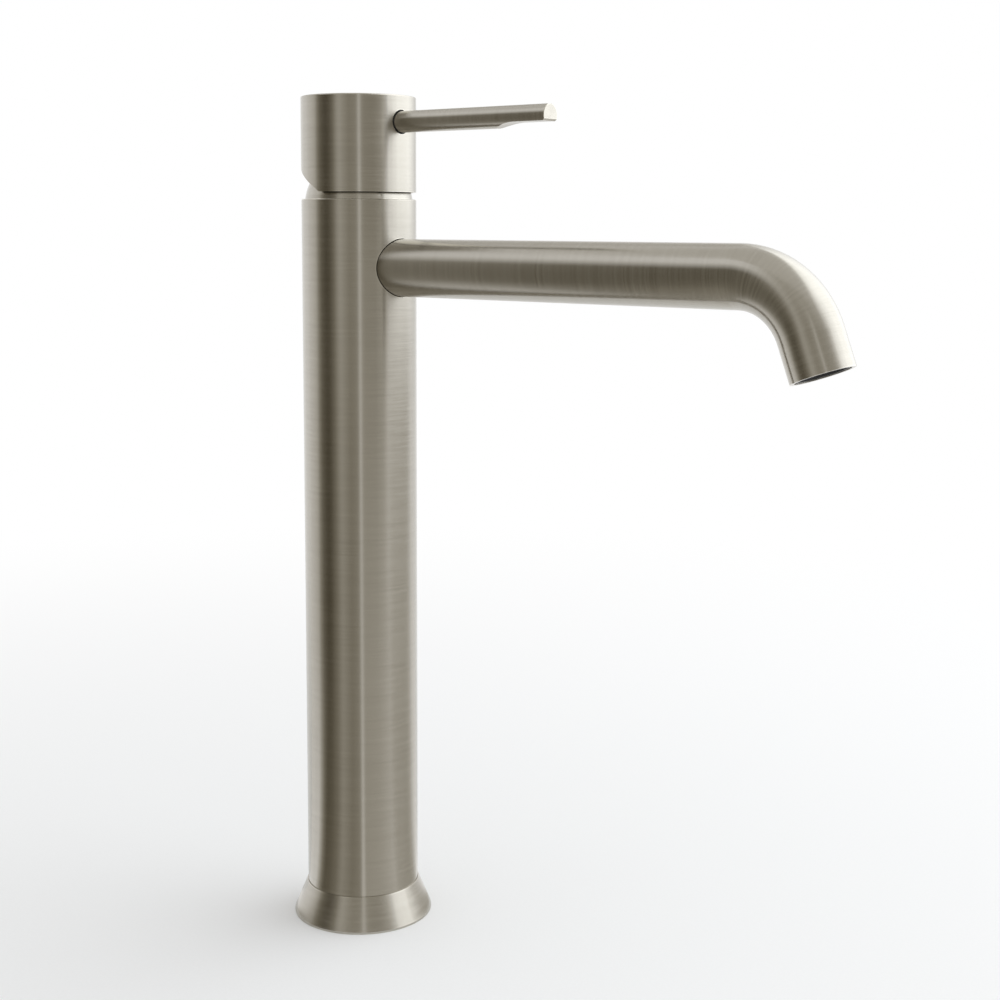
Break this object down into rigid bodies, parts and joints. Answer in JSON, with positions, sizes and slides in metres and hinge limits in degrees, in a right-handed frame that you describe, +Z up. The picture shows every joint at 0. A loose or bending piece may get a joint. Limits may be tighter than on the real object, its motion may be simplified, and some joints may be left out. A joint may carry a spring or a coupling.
{
  "type": "basin faucet",
  "caption": "Tall single-lever basin mixer tap: round column on a flared foot, a bent round tube spout and a turning cap with a pin lever.",
  "frame": {"origin": "centre of the foot's underside, on the column's axis", "axes": "+Z up along the column, +X towards the spout's outlet"},
  "size_m": [0.2417, 0.056, 0.33],
  "materials": {
    "brushed_nickel": "warm nickel plate, brushed round each turned form",
    "brass": "machined",
    "steel": "machined stainless steel",
    "copper": "drawn copper tube",
    "cartridge_plastic": "moulded",
    "ceramic": "lapped alumina",
    "aerator_plastic": "moulded",
    "plug_plastic": "plated plug",
    "rubber": "smooth"
  },
  "bodies": {
    "faucet_body": {"aerator_grid": "aerator_plastic", "aerator_housing": "aerator_plastic", "aerator_washer": "rubber", "base_block": "brass", "base_flange": "brushed_nickel", "base_gasket": "rubber", "cartridge_base": "cartridge_plastic", "cartridge_housing": "cartridge_plastic", "cold_riser": "copper", "column_tube": "brushed_nickel", "dome_cover": "brushed_nickel", "dome_o_ring": "rubber", "fixed_disc": "ceramic", "hot_riser": "copper", "port_seals": "rubber", "retaining_nut": "brass", "riser_o_rings": "rubber", "spout_o_ring": "rubber", "spout_spigot": "brass", "spout_tube": "brushed_nickel", "valve_body": "brass"},
    "rotor_body": {"rotor": "cartridge_plastic", "pivot_pin": "steel"},
    "handle": {"handle_cap": "brushed_nickel", "stem": "brass", "stem_screw": "steel", "index_plug": "plug_plastic", "lever_rod": "brushed_nickel", "lever_o_ring": "rubber"},
    "disc": {"disc_carrier": "cartridge_plastic", "moving_disc": "ceramic"}
  },
  "joints": [
    {"name": "handle_swivel", "type": "hinge", "parent": "faucet_body", "child": "rotor_body", "pos_m": [0, 0, 0.2879], "axis": [0, 0, 1], "range_deg": [-50, 50]},
    {"name": "handle_lift", "type": "hinge", "parent": "rotor_body", "child": "handle", "pos_m": [0, 0, 0.2879], "axis": [0, -1, 0], "range_deg": [0, 25]},
    {"name": "disc_slide", "type": "slide", "parent": "rotor_body", "child": "disc", "axis": [1, 0, 0], "range_m": [0, 0.0036]}
  ],
  "couplings": [
    {"joint": "disc_slide", "follows": "handle_lift", "m_per_rad": 0.0078}
  ]
}
